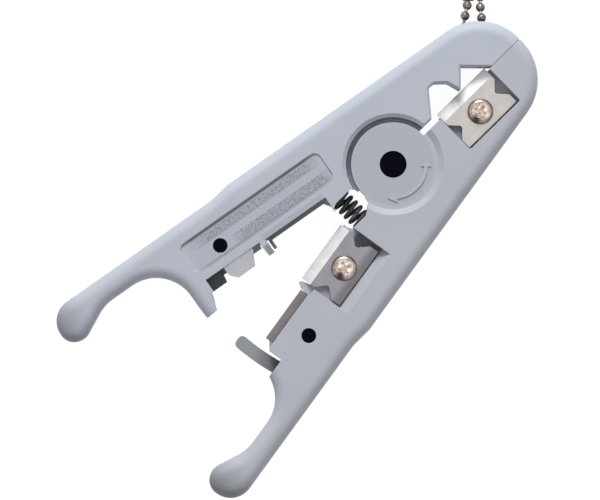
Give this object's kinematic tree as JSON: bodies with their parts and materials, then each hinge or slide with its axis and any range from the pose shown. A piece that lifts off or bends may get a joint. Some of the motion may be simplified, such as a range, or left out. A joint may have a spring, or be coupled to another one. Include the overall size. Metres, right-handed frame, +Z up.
{
  "type": "cable stripper",
  "caption": "Hand cable stripper: two sprung plastic arms on a pivot, with notched jaws, flat clamped blades and steel shear cutters in the handles.",
  "frame": {"origin": "on the pivot axis, in the plane of the back face on which the tool lies", "axes": "+Z up through the thickness, +Y along the closed jaws towards the head, +X towards the arm that carries the blades"},
  "size_m": [0.0612, 0.1308, 0.012],
  "materials": {
    "arm_plastic": "fine moulded satin, cool light grey",
    "washer_plastic": "natural",
    "black_steel": "black oxide",
    "spring_steel": "dark oiled wire",
    "blade_steel": "ground",
    "dark_steel": "dull hardened",
    "screw_brass": "plated, bright",
    "chain_metal": "nickel plated",
    "connector_metal": "coppery plate"
  },
  "bodies": {
    "blade_side": {"blade_arm": "arm_plastic", "pivot_pin": "black_steel", "hub_washer": "washer_plastic", "clip_washer": "black_steel", "pivot_clip": "black_steel", "return_spring": "spring_steel", "head_blade_nut": "screw_brass", "handle_blade_nut": "screw_brass", "lower_cutter": "dark_steel", "lower_cutter_pin": "black_steel"},
    "notched_side": {"notched_arm": "arm_plastic", "upper_cutter": "blade_steel", "upper_cutter_pin": "black_steel", "lanyard_pin": "black_steel"},
    "head_blade_body": {"head_blade": "blade_steel"},
    "handle_blade_body": {"handle_blade": "blade_steel"},
    "head_screw_body": {"head_blade_screw": "screw_brass"},
    "handle_screw_body": {"handle_blade_screw": "screw_brass"},
    "chain_body": {"bead_chain": "chain_metal", "chain_connector": "connector_metal"}
  },
  "joints": [
    {"name": "handle_pivot", "type": "hinge", "parent": "blade_side", "child": "notched_side", "pos_m": [0, 0, 0], "axis": [0, 0, 1], "range_deg": [0, 18.5], "stiffness_Nm_per_rad": 0.35, "springref_deg": -11.46, "deforming": ["return_spring"]},
    {"name": "head_blade_slide", "type": "slide", "parent": "blade_side", "child": "head_blade_body", "axis": [-1, 0, 0], "range_m": [-0.0002, 0.001]},
    {"name": "handle_blade_slide", "type": "slide", "parent": "blade_side", "child": "handle_blade_body", "axis": [-0.9863, -0.165, 0], "range_m": [-0.0002, 0.001]},
    {"name": "head_screw_turn", "type": "hinge", "parent": "blade_side", "child": "head_screw_body", "pos_m": [0.0055, 0.0232, 0], "axis": [0, 0, 1], "range_deg": [0, 180]},
    {"name": "handle_screw_turn", "type": "hinge", "parent": "blade_side", "child": "handle_screw_body", "pos_m": [0.0093, -0.02511, 0], "axis": [0, 0, 1], "range_deg": [0, 180]},
    {"name": "chain_swing", "type": "hinge", "parent": "notched_side", "child": "chain_body", "pos_m": [-0.0089, 0.0349, 0.005], "axis": [0, 0, 1], "range_deg": [-12, 12]}
  ]
}
